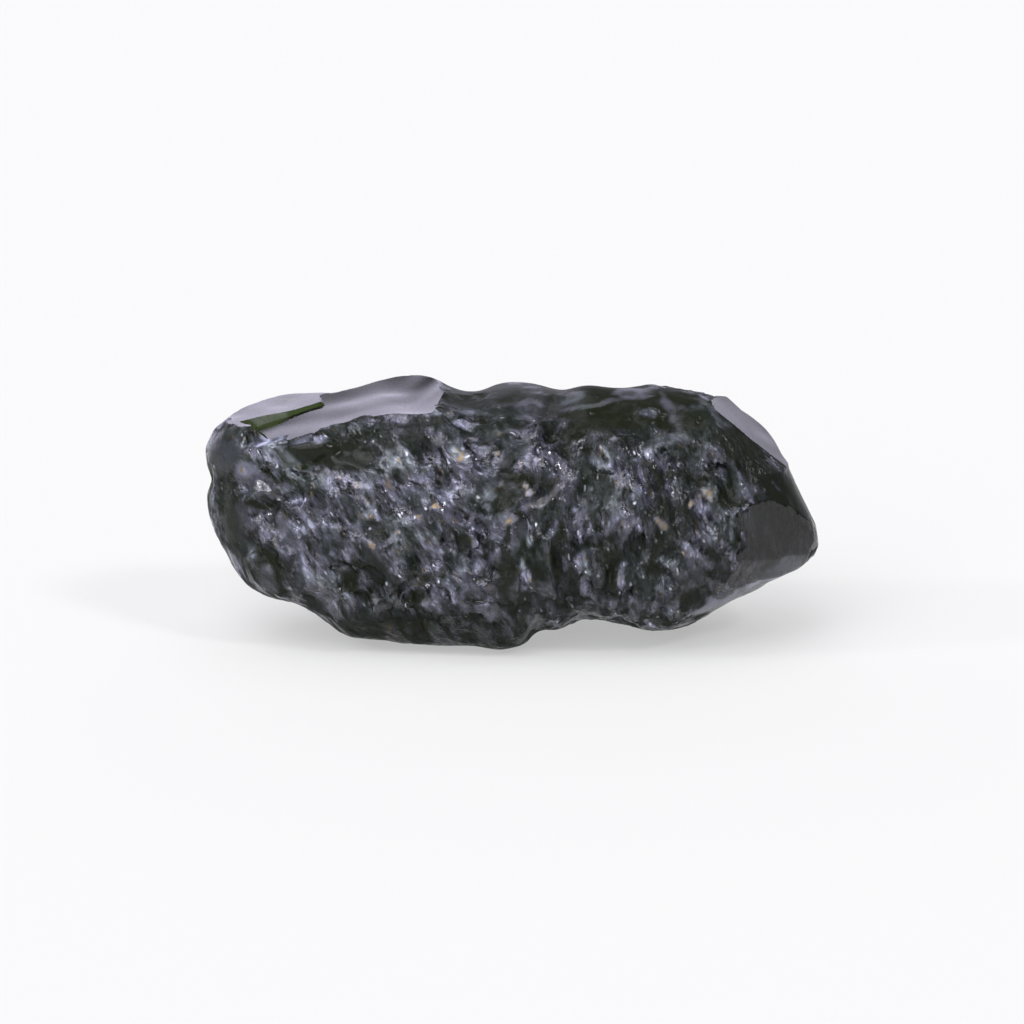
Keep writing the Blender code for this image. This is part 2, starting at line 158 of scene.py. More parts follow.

# Painted on the front, each row x, z, half length, half width, turn and amount. The glint amount is
# painted highlight where high and, where low, leaves painted shade; the green rows are painted light
# seen through the glass, and the soil rows are real soil.
skin = {
    "glint": 0.88, "leftGlint": 0.5, "leftEnds": (0, -7),
    "patches": [(0.7, 0.7, 44), (0.6, 1.6, 45)],          # strength, waves per mm, seed
    "ragged": (0.25, 1.3, 41), "clearArea": (-11.0, 4.4, 4.5, 2.6, 0), "wornMost": 0.75,
    "wornFirmness": 1.8, "wornDepth": 3.0, "frontEnds": (1.5, -1.5), "behindEnds": (-0.5, 1.5),
    "glintAreas": [
        (3.4, -2.4, 4.8, 2.0, 0, 0.55), (-4.0, -6.0, 9.0, 1.5, -4, 0.4),
        (4.0, 4.0, 3.5, 0.8, -8, 0.5), (-8.4, 3.3, 2.6, 0.7, -14, 0.15),
        (-2.1, 5.7, 1.4, 0.45, 0, 0.05), (4.1, 5.95, 0.8, 0.3, 0, 0.05),
        (-5.1, -5.3, 1.5, 0.4, -5, 0.2), (-12.4, 0.56, 0.6, 0.4, 0, 0.1),
        (-14.0, 1.0, 0.9, 3.5, 0, 0.35), (5.0, 5.0, 5.2, 0.9, -6, 0.05),
        (0, 5.8, 4.6, 0.8, 0, 0.15), (6.0, 5.9, 4.5, 0.5, -5, 0.1),
        (11.4, 2.6, 2.9, 1.0, -40, 0.15), (8.0, -0.8, 0.7, 0.7, 0, 0.3),
        (6.9, 1.6, 0.4, 0.9, 0, 0.25), (10.4, 0.8, 0.5, 0.7, 0, 0.15),
        (9.3, -3.3, 1.2, 0.9, 20, 0.45), (4.9, -3.5, 0.25, 0.7, 0, 0.1),
        (2.1, -1.7, 0.35, 1.8, 0, 0.1), (-0.3, -2.2, 0.3, 1.5, 0, 0.15),
        (4.6, -2.2, 0.5, 1.8, 0, 0.2), (6.9, -2.6, 0.3, 1.2, 0, 0.15),
        (-0.6, 0.6, 0.9, 0.5, 20, 0.15), (3.3, 4.0, 1.2, 0.5, 0, 0.15),
        (13.2, 0.2, 1.5, 1.6, 0, 0.1), (-7.4, 5.0, 0.5, 0.5, 0, 0.3),
        (-12.0, -2.4, 1.6, 0.55, -55, 0.1), (-11.8, 1.8, 0.85, 0.25, -50, 0.05),
        (-9.0, 2.8, 2.6, 0.75, -12, 0.08), (-12.9, -1.8, 0.35, 0.4, 0, 2.6),
        (-4.8, -4.0, 0.5, 0.6, 0, 0.1), (-8.0, -3.3, 0.65, 0.65, 0, 0.1),
        (-4.6, 4.3, 2.4, 0.35, 12, 0.3), (-6.5, -1.0, 0.5, 0.8, -60, 0.3),
        (0.45, -2.8, 0.22, 1.2, 0, 3.6), (0.75, -0.9, 0.22, 0.8, 0, 3.0),
        (3.1, -0.9, 0.22, 0.8, 0, 3.0), (3.3, -2.9, 0.3, 1.1, 5, 3.2),
        (6.2, -0.8, 0.22, 0.8, 5, 3.2), (5.1, -3.2, 0.25, 0.9, 0, 3.4),
        (7.4, -3.3, 0.5, 0.4, -80, 2.0), (7.5, -2.3, 0.45, 0.3, 0, 2.4),
        (8.3, -1.7, 0.6, 0.5, -50, 1.9), (8.9, 0.6, 0.7, 0.35, -62, 2.2),
        (9.6, -0.8, 0.6, 0.35, -60, 2.3), (10.4, -0.8, 0.3, 0.5, 10, 2.0),
        (11.2, -1.3, 0.8, 0.4, -70, 2.0), (11.3, 0.0, 0.5, 0.25, -60, 2.4),
        (4.25, 2.66, 0.65, 0.6, 20, 3.0), (7.1, 3.4, 0.9, 0.3, 0, 2.4),
        (6.7, 3.1, 0.5, 0.3, -20, 2.8), (6.55, 4.85, 0.4, 0.4, -20, 3.0),
        (3.0, 0.0, 0.3, 0.15, -60, 3.0), (-3.2, 2.9, 1.0, 0.6, -20, 2.0),
        (-8.6, 1.2, 0.6, 0.4, -20, 2.2), (-5.4, -0.3, 0.6, 0.4, -50, 2.2),
        (-1.8, -1.8, 0.4, 1.4, 0, 2.8), (-0.2, -1.0, 0.25, 0.9, 0, 0.2),
        (-4.0, -3.7, 0.2, 0.9, -20, 2.2), (-5.0, 0.8, 2.0, 1.2, -30, 1.4),
        (-8.5, -0.5, 1.6, 1.2, -40, 1.4), (-3.3, 1.4, 1.0, 1.2, -50, 1.6),
        (-10.6, 0.6, 0.35, 0.12, 0, 2.6), (-5.4, 3.7, 2.6, 0.8, -5, 0.45),
        (-2.4, 4.2, 1.0, 0.35, -25, 1.7), (9.9, -4.25, 1.6, 0.4, 24, 1.5),
        (6.6, -5.35, 0.25, 0.13, 0, 4.0), (12.83, 1.48, 0.4, 0.12, -35, 2.5),
        (-11.7, 3.75, 1.1, 0.22, 15, 3.0), (-10.1, 3.55, 1.3, 0.16, 8, 3.0),
    ],
    # Painted green at the top left, standing in for light seen through the glass.
    "paintedGreenAreas": [(-11.95, 4.45, 1.05, 0.33, 20, 1.0)],
    "soilAreas": [
        (-2.6, 2.6, 0.2, 0.2, 0, 0.9), (-3.8, 0.33, 0.22, 0.2, 0, 1.0),
        (-7.7, 1.2, 0.25, 0.12, -50, 0.8), (-7.1, 0.7, 0.22, 0.1, -50, 0.7),
        (-4.55, -0.2, 0.15, 0.12, 0, 0.7), (-5.55, -0.9, 0.18, 0.12, 0, 0.7),
        (-7.0, -1.4, 0.3, 0.15, -60, 0.7), (-1.0, 3.0, 0.2, 0.15, 0, 0.7),
        (0.46, 1.5, 0.25, 0.12, -45, 0.9), (0.67, 1.14, 0.2, 0.16, 0, 1.0),
        (4.8, 3.6, 0.2, 0.15, 0, 0.6), (6.0, 4.8, 0.15, 0.15, 0, 0.5),
        (8.4, 0.66, 0.15, 0.3, 0, 0.9), (7.2, -0.5, 0.5, 0.2, -45, 0.6),
        (0.0, -0.3, 0.5, 0.25, 20, 0.4), (1.0, 0.5, 0.8, 0.25, 25, 0.28),
        (1.9, 1.1, 0.6, 0.28, 40, 0.28), (2.4, 1.9, 0.6, 0.25, 65, 0.2),
        (9.25, 1.0, 0.5, 0.3, -50, 0.5), (-0.2, -0.35, 0.3, 0.15, 0, 0.9),
        (-2.0, 3.6, 0.2, 0.15, 0, 0.5),
    ],
}


# Mixes the bits of an integer array.
def scramble(h):
    h = h & 0xFFFFFFFF
    h = ((h ^ (h >> 16)) * 0x45D9F3B) & 0xFFFFFFFF
    h = ((h ^ (h >> 16)) * 0x45D9F3B) & 0xFFFFFFFF
    return h ^ (h >> 16)


# A steady value from 0 to 1 for each lattice corner.
def chance(corner, seed, k):
    h = corner @ np.array([73856093, 19349663, 83492791]) + seed * 40503 + k * 7919
    return scramble(h) / 4294967296.0


# Smooth noise from -1 to 1: corner values of unit cells, blended by 6f^5 - 15f^4 + 10f^3.
def wave(q, seed):
    base = np.floor(q).astype(np.int64)
    f = q - base
    f = f * f * f * (f * (f * 6 - 15) + 10)
    total = 0
    for corner in np.ndindex(2, 2, 2):
        weight = np.prod(np.where(corner, f, 1 - f), axis=1)
        total = total + weight * chance(base + corner, seed, 0)
    return total * 2 - 1


# A noisy step in x, y and z for each point.
def drift(p, amount, rate, seed):
    return amount * np.stack([wave(p * rate, seed + k) for k in range(3)], axis=1)


# Distance to the nearest of one scattered point per unit cell, and that point's value.
def nearest(q, seed):
    base = np.floor(q).astype(np.int64)
    best = np.full(len(q), 9.0)
    value = np.zeros(len(q))
    for step in np.ndindex(3, 3, 3):
        cell = base + (np.array(step) - 1)
        point = cell + np.stack([chance(cell, seed, k) for k in (1, 2, 3)], axis=1)
        away = ((point - q) ** 2).sum(axis=1)
        near = away < best
        value = np.where(near, chance(cell, seed, 4), value)
        best = np.where(near, away, best)
    return np.sqrt(best), value


# 0 below a, 1 above b, eased between.
def smoothStep(a, b, v):
    t = np.clip((v - a) / (b - a), 0, 1)
    return t * t * (3 - 2 * t)


# One minus squared distance in a turned ellipse on the front.
def ellipse(p, x, z, halfLength, halfWidth, turn):
    c, s = cos(radians(turn)), sin(radians(turn))
    u = ((p[:, 0] - x) * c + (p[:, 2] - z) * s) / halfLength
    v = (-(p[:, 0] - x) * s + (p[:, 2] - z) * c) / halfWidth
    return np.clip(1 - u * u - v * v, 0, 1)


# The same ellipse with a flat middle: 1 inside, falling to 0 over its rim.
def patch(p, area, firmness=1.6):
    return np.clip(firmness * ellipse(p, *area[:5]), 0, 1)


# Six grids over a box's faces, in -1..1, as one list of points and outward quads.
def boxLattice(counts):
    n = np.array(counts)
    quads = []
    for axis in range(3):
        u, v = (axis + 1) % 3, (axis + 2) % 3
        i, j = [a.ravel() for a in np.meshgrid(np.arange(n[u]), np.arange(n[v]), indexing="ij")]
        for end in (0, n[axis]):
            c = np.zeros((len(i), 4, 3), np.int64)
            c[:, :, axis] = end
            turn = [(0, 0), (1, 0), (1, 1), (0, 1)] if end else [(0, 0), (0, 1), (1, 1), (1, 0)]
            for k, (a, b) in enumerate(turn):
                c[:, k, u] = i + a
                c[:, k, v] = j + b
            quads.append(c)
    quads = np.concatenate(quads)
    keys = quads @ np.array([1, n[0] + 1, (n[0] + 1) * (n[1] + 1)])
    _, first, inverse = np.unique(keys.ravel(), return_index=True, return_inverse=True)
    return quads.reshape(-1, 3)[first] / n * 2.0 - 1.0, inverse.reshape(-1, 4)


# Radius of the outline at an angle: a cubic through its points, with matched slopes.
def outlineRadius(angle):
    p = np.array(stone["outline"])
    a, r = np.arctan2(p[:, 1], p[:, 0]), np.hypot(p[:, 0], p[:, 1])
    order = np.argsort(a)
    a, r = a[order], r[order]
    a = np.concatenate([a[-3:] - 2 * pi, a, a[:3] + 2 * pi])
    r = np.concatenate([r[-3:], r, r[:3]])
    slope = np.gradient(r, a)
    i = np.clip(np.searchsorted(a, angle) - 1, 1, len(a) - 3)
    span = a[i + 1] - a[i]
    t = (angle - a[i]) / span
    return ((2 * t**3 - 3 * t**2 + 1) * r[i] + (t**3 - 2 * t**2 + t) * slope[i] * span
            + (3 * t**2 - 2 * t**3) * r[i + 1] + (t**3 - t**2) * slope[i + 1] * span)


# Plain body in direction d: (across / radius)^power + (depth / depth limit)^power = 1.
def body(d):
    across = np.hypot(d[:, 0], d[:, 2])
    radius = outlineRadius(np.arctan2(d[:, 2], d[:, 0]))
    under = smoothStep(*stone["underEnds"], -d[:, 2] / np.maximum(across, 1e-9))
    front = d[:, 1] < 0
    depth = np.where(front, stone["depthFront"], stone["depthBack"])
    power = np.where(front, stone["roundFront"], stone["roundBack"] + stone["boxUnder"] * under)
    t = ((across / radius) ** power + (np.abs(d[:, 1]) / depth) ** power) ** (-1 / power)
    return d * t[:, None]


# Unit normal of each point from the diagonals of its quads.
def vertexNormals(p, quads):
    n = np.cross(p[quads[:, 2]] - p[quads[:, 0]], p[quads[:, 3]] - p[quads[:, 1]])
    out = np.stack([sum(np.bincount(quads[:, k], n[:, a], len(p)) for k in range(4))
                    for a in range(3)], axis=1)
    return out / np.linalg.norm(out, axis=1)[:, None]


# Scooped pits: one minus squared distance to the nearest point, drawn out along the flow.
def pits(p, size, stretch, seed):
    (a, b), (c, d) = stone["flowEnds"]
    left = 1 - smoothStep(a, b, p[:, 0])
    right = smoothStep(c, d, p[:, 0])
    least = stone["pitLeast"]
    total = 0
    for k, (share, line) in enumerate(zip((left, 1 - left - right, right), stone["flow"])):
        line = np.array(line) / np.linalg.norm(line)
        q = (p - (1 - 1 / stretch) * (p @ line)[:, None] * line) / size
        away, value = nearest(q, seed + 50 * k)
        scoop = np.clip(1 - (away / stone["pitReach"]) ** 2, 0, 1)
        total = total + share * scoop * (least + (1 - least) * value)
    return total


def addMesh(name, points, faces):
    mesh = bpy.data.meshes.new(name)
    mesh.from_pydata((points * mm).tolist(), [], faces.tolist())
    made = bpy.data.objects.new(name, mesh)
    bpy.context.scene.collection.objects.link(made)
    return made


def addLayer(mesh, name, domain, values, kind="FLOAT"):
    layer = mesh.attributes.new(name, kind, domain)
    layer.data.foreach_set("value", np.asarray(values, bool if kind == "BOOLEAN" else np.float32))


# How worn each point is, how much it shines and how much pale haze, in places a painted reflection, it
# gets.
def wornPart(p):
    worn, sheen, hazeAndReflection = np.zeros((3, len(p)))
    for area in wornAreas:
        inside = patch(p, area, skin["wornFirmness"]) * (p[:, 1] < skin["wornDepth"])
        worn = np.maximum(worn, inside)
        sheen = np.maximum(sheen, inside * area[5])
        hazeAndReflection = np.maximum(hazeAndReflection, inside * area[6])
    return worn, sheen, hazeAndReflection


# The plain body, swollen by waves and sunk by pits and hollows along its normals. Little of this
# is left near the floor, so the stone rests flat.
def etchedSurface():
    unitPoints, quads = boxLattice(stone["lattice"])
    warp = stone["latticeWarp"]
    spread = np.tan(unitPoints * warp) / tan(warp) * np.array(stone["latticeBox"])
    plain = body(spread / np.linalg.norm(spread, axis=1)[:, None])
    normals = vertexNormals(plain, quads)
    pitted = 1 - (1 - stone["wornPitted"]) * wornPart(plain)[0]
    mean, swing, rate, seed, thinnest, fullest = stone["fineWaves"]
    fine = pitted * np.clip(mean + swing * wave(plain * rate, seed), thinnest, fullest)
    kept, rimStart, rimEnd = stone["rimRelief"]
    rim = kept + (1 - kept) * smoothStep(rimStart, rimEnd, np.abs(normals[:, 1]))
    wandered = plain + drift(plain, *stone["wander"])
    sunk = sum(depth * pits(wandered, size, stretch, seed) * part
               for (size, depth, stretch, seed), part in zip(stone["pits"], (pitted, fine, fine)))
    relief = sum(height * wave(plain * rate, seed) for rate, height, seed in stone["swell"])
    relief = relief - (sunk - stone["pitMean"] * pitted) * rim
    ragged = plain + sum(drift(plain, *row) for row in stone["ragged"])
    front = plain[:, 1] < 0
    for x, z, halfLength, halfWidth, turn, depth in gouges:
        relief = relief - depth * ellipse(ragged, x, z, halfLength, halfWidth, turn) * front
    aboveFloor = plain[:, 2] * cos(stone["lean"]) - plain[:, 1] * sin(stone["lean"]) - stone["floor"]
    kept = stone["floorRelief"]
    relief = relief * (kept + (1 - kept) * smoothStep(0, stone["easeAboveFloor"], aboveFloor))
    return plain + normals * relief[:, None], quads


# Closed slab whose underside is the chipped face: a curve each way, fading rings and a little
# noise, on a grid whose edges wander. Its face is marked with the chip's number, its walls with
# minus that number.
def chipTool(number, chip):
    n = np.array(chip["normal"]) / np.linalg.norm(chip["normal"])
    a = np.array(chip["along"], float)
    a = a - n * (a @ n)
    a = a / np.linalg.norm(a)
    b = np.cross(n, a)
    u, v = np.meshgrid(*[np.linspace(*reach, int(round(np.ptp(reach) / chipping["step"])) + 1)
                         for reach in (chip["u"], chip["v"])], indexing="ij")
    ringU, ringV, spacing, height, spread = chip["ripple"]
    away = np.hypot(u - ringU, v - ringV)
    rise = chip["curve"][0] * u * u + chip["curve"][1] * v * v
    rise = rise + height * np.cos(2 * pi * away / spacing) * np.exp(-(away / spread) ** 2)
    start, steepness = chip.get("lift", (0, 0))
    rise = rise + steepness * np.maximum(u - start, 0) ** 2
    far, rate, seed = chipping["drift"]
    driftU, driftV = [far * wave(t.reshape(-1, 1) * (rate, 0, 0), seed).reshape(u.shape) for t in (v, u)]
    flat = np.array(chip["point"]) + (u + driftU)[..., None] * a + (v + driftV)[..., None] * b
    noise = wave(flat.reshape(-1, 3) * chipping["roughRate"], chipping["roughSeed"]).reshape(u.shape)
    low = flat + (rise + chip["rough"] * noise)[..., None] * n
    outU, outV = [chip.get("flare", 0) * chipping["height"] * (2 * (t - t.min()) / np.ptp(t) - 1)
                  for t in (u, v)]
    high = flat + chipping["height"] * n + outU[..., None] * a + outV[..., None] * b
    index = np.arange(u.size).reshape(u.shape)
    sheet = np.stack([index[:-1, :-1], index[:-1, 1:], index[1:, 1:], index[1:, :-1]], -1).reshape(-1, 4)
    walls = [np.stack([e[:-1], e[:-1] + u.size, e[1:] + u.size, e[1:]], -1)
             for e in (index[0, ::-1], index[::-1, -1], index[-1, :], index[:, 0])]
    faces = np.concatenate([sheet, sheet[:, ::-1] + u.size] + walls)
    made = addMesh(f"chip{number}", np.concatenate([low.reshape(-1, 3), high.reshape(-1, 3)]), faces)
    bm = bmesh.new()
    bm.from_mesh(made.data)
    bmesh.ops.recalc_face_normals(bm, faces=bm.faces)
    bm.to_mesh(made.data)
    bm.free()
    addLayer(made.data, "chip", "FACE", np.where(np.arange(len(faces)) < len(sheet), number, -number))
    return made


# Cuts the slabs off the etched surface and returns the mesh that is left.
def chipped(made):
    tools = [chipTool(k + 1, chip) for k, chip in enumerate(chips)]
    for tool in tools:
        cut = made.modifiers.new(tool.name, "BOOLEAN")
        cut.operation = "DIFFERENCE"
        cut.solver = "MANIFOLD"
        cut.object = tool
    shape = bpy.data.meshes.new_from_object(made.evaluated_get(bpy.context.evaluated_depsgraph_get()))
    made.modifiers.clear()
    made.data = shape
    for tool in tools:
        bpy.data.objects.remove(tool)
    return shape


# The strongest amount of the painted areas at each point.
def painted(p, areas):
    return np.max([area[5] * patch(p, area) for area in areas], axis=0)


# Where the skin has painted glints, is worn, soiled or painted green, as point values; few glints leave
# painted shade.
def paint(shape, p):
    front = smoothStep(*skin["frontEnds"], p[:, 1])
    behind = smoothStep(*skin["behindEnds"], p[:, 1])
    ragged = p + drift(p, *skin["ragged"])
    glint = skin["glint"] + skin["leftGlint"] * smoothStep(*skin["leftEnds"], p[:, 0])
    unevenness = sum(strength * wave(p * rate, seed) for strength, rate, seed in skin["patches"])
    glint = glint * np.maximum(0.05, 1 + unevenness)
    for area in skin["glintAreas"]:
        glint = glint + (area[5] - glint) * patch(ragged, area) * front
    worn, sheen, hazeAndReflection = wornPart(ragged)
    layers = {
        "glint": glint, "soil": painted(ragged, skin["soilAreas"]) * front,
        "paintedGreen": painted(p, skin["paintedGreenAreas"]) * front,
        "worn": skin["wornMost"] * worn, "sheen": sheen, "hazeAndReflection": hazeAndReflection,
        "ahead": 1 - behind, "backing": behind * (1 - patch(p, skin["clearArea"])),
    }
    for name, values in layers.items():
        addLayer(shape, name, "POINT", np.maximum(values, 0))


# Leans the stone back, sets it on the floor and centres it in its place in the frame.
def setDown(shape, p):
    lean, floor = stone["lean"], stone["floor"]
    x, y, z = p.T
    leant = np.stack([x, y * cos(lean) + z * sin(lean), z * cos(lean) - y * sin(lean)], axis=1)
    leant[:, 2] = np.maximum(leant[:, 2], floor) - floor
    leant[:, :2] -= (leant[:, :2].min(axis=0) + leant[:, :2].max(axis=0)) / 2
    low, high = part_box("moldavite")
    leant = leant * mm + np.array([(low[0] + high[0]) / 2, (low[1] + high[1]) / 2, low[2]])
    shape.vertices.foreach_set("co", leant.ravel())
    shape.shade_smooth()


# Gloss and painted green light of the chips' faces, and the crisp edges, where a face's level
# differs from its neighbour's.
def markChips(shape):
    mark = np.empty(len(shape.polygons), np.float32)
    shape.attributes["chip"].data.foreach_get("value", mark)
    corners = np.empty(len(shape.polygons), np.int32)
    shape.polygons.foreach_get("loop_total", corners)
    edge = np.empty(len(shape.loops), np.int32)
    shape.loops.foreach_get("edge_index", edge)
    cornerMark = np.repeat(np.round(mark), corners).astype(int)
    chip, wall = np.abs(cornerMark), cornerMark < 0
    level = np.array([0] + [10 * c["normal"][0] if c["crisp"] else 0 for c in chips])[chip] + 20 * wall
    most = np.full(len(shape.edges), -99.0)
    least = np.full(len(shape.edges), 99.0)
    np.maximum.at(most, edge, level)
    np.minimum.at(least, edge, level)
    addLayer(shape, "sharp_edge", "EDGE", most != least, "BOOLEAN")
    addLayer(shape, "fresh", "CORNER", np.array([0] + [c["gloss"] for c in chips])[chip])
    addLayer(shape, "riser", "CORNER", np.array([0] + [c.get("paintedGreenShare", 0) for c in chips])[chip] * wall)
    shape.attributes.remove(shape.attributes["chip"])
    print("triangles:", int((corners - 2).sum()))


# The etched surface, chipped, painted, set down and marked.
def makeStone():
    points, quads = etchedSurface()
    made = addMesh("moldaviteGlass", points, quads)
    addLayer(made.data, "chip", "FACE", np.zeros(len(quads)))
    print("etched surface made")
    shape = chipped(made)
    print("chips cut:", len(shape.vertices), "points")
    left = np.empty(len(shape.vertices) * 3)
    shape.vertices.foreach_get("co", left)
    left = left.reshape(-1, 3) / mm
    paint(shape, left)
    setDown(shape, left)
    markChips(shape)
    return made


# A shader socket that takes part in sums: numbers and sockets give Math nodes.
class Value:
    def __init__(self, tree, socket):
        self.tree, self.socket = tree, socket

    def math(self, operation, first, second):
        return self.tree.add("ShaderNodeMath", {"operation": operation}, {0: first, 1: second})

    def __add__(self, other):
        return self.math("ADD", self, other)

    def __mul__(self, other):
        return self.math("MULTIPLY", self, other)

    def __sub__(self, other):
        return self.math("SUBTRACT", self, other)

    def __rsub__(self, other):
        return self.math("SUBTRACT", other, self)

    __radd__, __rmul__ = __add__, __mul__

    # Another output of the same node.
    def beside(self, output):
        return Value(self.tree, self.socket.node.outputs[output])

    def eased(self, low, high, toLow=0.0, toHigh=1.0):
        return self.tree.add("ShaderNodeMapRange", {"interpolation_type": "SMOOTHSTEP"}, {
            0: self, 1: low, 2: high, 3: toLow, 4: toHigh})


class Tree:
    def __init__(self, owner):
        owner.use_nodes = True
        self.nodes, self.links = owner.node_tree.nodes, owner.node_tree.links
        self.nodes.clear()

    # Adds a node: its settings first, then a value or link for each named or numbered socket.
    def add(self, kind, settings=None, inputs=None, output=0):
        node = self.nodes.new(kind)
        for name, value in (settings or {}).items():
            setattr(node, name, value)
        for name, value in (inputs or {}).items():
            if isinstance(value, Value):
                self.links.new(value.socket, node.inputs[name])
            else:
                node.inputs[name].default_value = value
        return Value(self, node.outputs[output]) if node.outputs else None

    # A colour part of the way from one to another: sockets 0, 6 and 7 of Mix, and its third output.
    def blend(self, part, first, second):
        return self.add("ShaderNodeMix", {"data_type": "RGBA"}, {0: part, 6: first, 7: second}, 2)

    def noise(self, place, rate, detail, output="Fac"):
        return self.add("ShaderNodeTexNoise", None, {
            "Vector": place, "Scale": rate, "Detail": detail}, output)


glassLook = {
    "ior": 1.49, "absorbColor": (0.40, 0.50, 0.20, 1), "absorbDensity": 900.0,
    "etchedRoughness": (0.10, 0.26), "freshRoughness": 0.04, "wornRoughness": 0.16,
    "leftGrain": (0.52, 0.05, -0.85), "rightGrain": (0.14, 0.05, -1.0), "grainEnds": (-3.5, 2.0),
    "grainStretch": 2.2, "wobble": 0.25, "wobbleRate": 3.0,
    "cupRates": (3.1, 5.6), "cupDepth": 0.00005,          # cups per mm, and depth in metres
    "cupEnds": (0.55, 0.1), "cupLeast": 0.4, "cupSteepness": 2.0, "sparkleEnds": (0.965, 0.985),
    # How frost with its painted glints, and haze, rise with the clumps and haze noise: from, to, least
    # and most.
    "clumpMean": 0.9, "clumpShift": 0.06, "clumpFrostAndGlint": (0.40, 0.60, 0.3, 1.25),
    "clumpHaze": (0.42, 0.58, 0.5, 1.2), "hazeEnds": (0.31, 0.75), "hazeAndReflectionEnds": (0.42, 0.6, 0.25, 1.0),
    "frostAndGlint": 0.19, "haze": 0.12, "wornHaze": 0.10, "sparkle": 0.45, "soil": 0.4,
    "clumpRate": 1.25, "hazeRate": 2.4, "gritRate": 4.0, "patchRate": 0.5, "unevenRate": 0.7,
    "gritEnds": (0.3, 0.6), "grainPick": (0.0, 0.08, 1.0, 0.0), "soilTint": 1.5,
    "dullEnds": (0.45, 0.65), "roughEnds": (0.35, 0.65),
    # The pale frost colour partly stands in for glints of the etched cups, a painted highlight, and the
    # sparkle colour is a painted sparkle highlight.
    "frostAndGlintColor": (0.63, 0.64, 0.84, 1), "dullColor": (0.53, 0.60, 0.65, 1),
    "sparkleColor": (0.9, 0.9, 0.93, 1), "soilColor": (0.66, 0.48, 0.26, 1),
    # The dark cavity and olive colours are painted shade, and the green one is painted light seen
    # through the glass.
    "paintedShadeAndGreen": 0.85, "paintedShadeColor": (0.010, 0.0130, 0.0075, 1),
    "deepEnds": (0.58, 0.43), "glintlessEnds": (0.6, 0.15), "glintlessDeep": 0.9, "wornDeep": 1.2,
    "sheenClear": 0.6, "sheenCoat": 0.6, "backCoat": 0.25,
    "paintedOliveShadeColor": (0.0125, 0.0145, 0.0075, 1), "paintedGreenColor": (0.032, 0.045, 0.014, 1), "paintedGreen": 0.8,
}


# Place in millimetres with less of its run along one line, so that what reads it is drawn out
# along the line, which turns from the left of the stone to the right.
def drawnPlace(tree, place):
    side = tree.add("ShaderNodeSeparateXYZ", None, {0: place}).eased(*glassLook["grainEnds"])
    line = tree.add("ShaderNodeMix", {"data_type": "VECTOR"}, {
        0: side, 4: glassLook["leftGrain"], 5: glassLook["rightGrain"]}, 1)
    line = tree.add("ShaderNodeVectorMath", {"operation": "NORMALIZE"}, {0: line})
    run = tree.add("ShaderNodeVectorMath", {"operation": "DOT_PRODUCT"}, {0: place, 1: line}, "Value")
    shift = tree.add("ShaderNodeVectorMath", {"operation": "SCALE"}, {
        0: line, "Scale": run * (1 - 1 / glassLook["grainStretch"])})
    drawn = tree.add("ShaderNodeVectorMath", {"operation": "SUBTRACT"}, {0: place, 1: shift})
    wobble = tree.add("ShaderNodeVectorMath", {"operation": "SCALE"}, {
        0: tree.noise(drawn, glassLook["wobbleRate"], 1.0, "Color"), "Scale": glassLook["wobble"]})
    return tree.add("ShaderNodeVectorMath", {"operation": "ADD"}, {0: drawn, 1: wobble})
